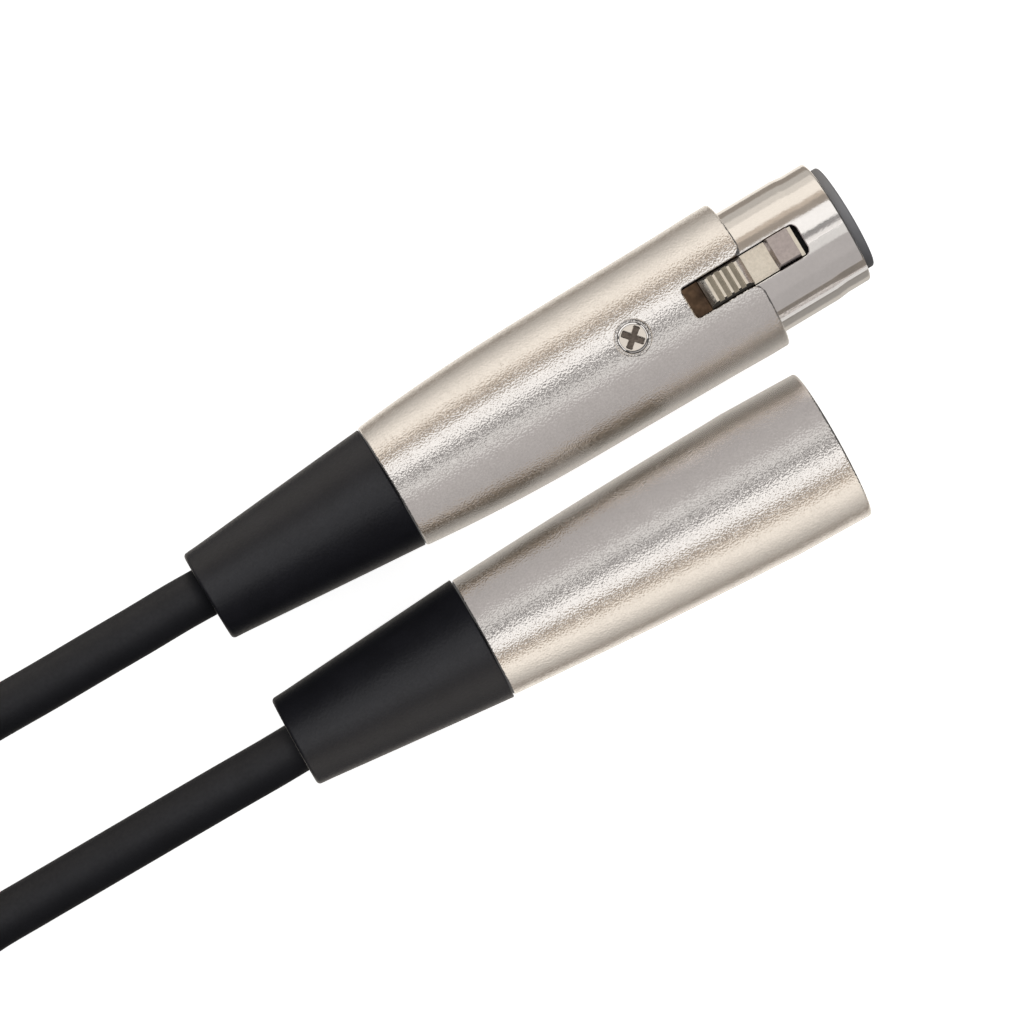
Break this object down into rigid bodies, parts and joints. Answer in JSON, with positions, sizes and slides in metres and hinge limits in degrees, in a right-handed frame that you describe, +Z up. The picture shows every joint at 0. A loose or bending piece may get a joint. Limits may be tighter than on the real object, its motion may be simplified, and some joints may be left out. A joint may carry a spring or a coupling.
{
  "type": "xlr cable",
  "caption": "Balanced microphone cable with a female and a male three-pole connector, black rubber boots and a latch; spare length in a tied hank.",
  "frame": {"origin": "bottom centre of the box around the two connectors, on the table they lie on", "axes": "+X towards the connectors' mating ends, +Z up, +Y from the male connector to the female one"},
  "size_m": [0.2779, 0.0572, 0.032],
  "materials": {
    "satin_nickel": "satin, fine-grained nickel plating",
    "bright_nickel": "polished nickel plating",
    "boot_rubber": "matte, finely grained",
    "gasket_rubber": "matte",
    "core_plastic": "moulded",
    "contact_metal": "silver plated",
    "cable_jacket": "matte flexible PVC",
    "bare_screen": "twisted tinned copper",
    "red_wire": "insulation",
    "white_wire": "insulation",
    "strap_fabric": "woven hook-and-loop strap"
  },
  "bodies": {
    "connectors_and_cable": {"female_boot": "boot_rubber", "female_handle": "satin_nickel", "female_nose": "bright_nickel", "female_face_gasket": "gasket_rubber", "female_insulator": "core_plastic", "female_contact_1": "contact_metal", "female_contact_2": "contact_metal", "female_contact_3": "contact_metal", "female_latch_pin": "bright_nickel", "female_latch_spring": "bright_nickel", "female_screw": "bright_nickel", "female_ground_tab": "bright_nickel", "female_cable_clamp": "core_plastic", "female_jacket_end": "cable_jacket", "female_conductor_1": "bare_screen", "female_conductor_2": "red_wire", "female_conductor_3": "white_wire", "male_boot": "boot_rubber", "male_handle": "satin_nickel", "male_insulator": "core_plastic", "male_pin_1": "contact_metal", "male_pin_2": "contact_metal", "male_pin_3": "contact_metal", "male_screw": "bright_nickel", "male_ground_tab": "bright_nickel", "male_cable_clamp": "core_plastic", "male_jacket_end": "cable_jacket", "male_conductor_1": "bare_screen", "male_conductor_2": "red_wire", "male_conductor_3": "white_wire", "cable_female_lead": "cable_jacket", "cable_hank": "cable_jacket", "cable_male_lead": "cable_jacket", "cable_tie": "strap_fabric"},
    "latch": {"female_latch": "satin_nickel"}
  },
  "joints": [
    {"name": "latch_press", "type": "hinge", "parent": "connectors_and_cable", "child": "latch", "pos_m": [0.0183, 0.011, 0.0161], "axis": [0, 1, 0], "range_deg": [0, 4.5], "stiffness_Nm_per_rad": 0.15, "springref_deg": -5.73, "deforming": ["female_latch_spring"]}
  ]
}
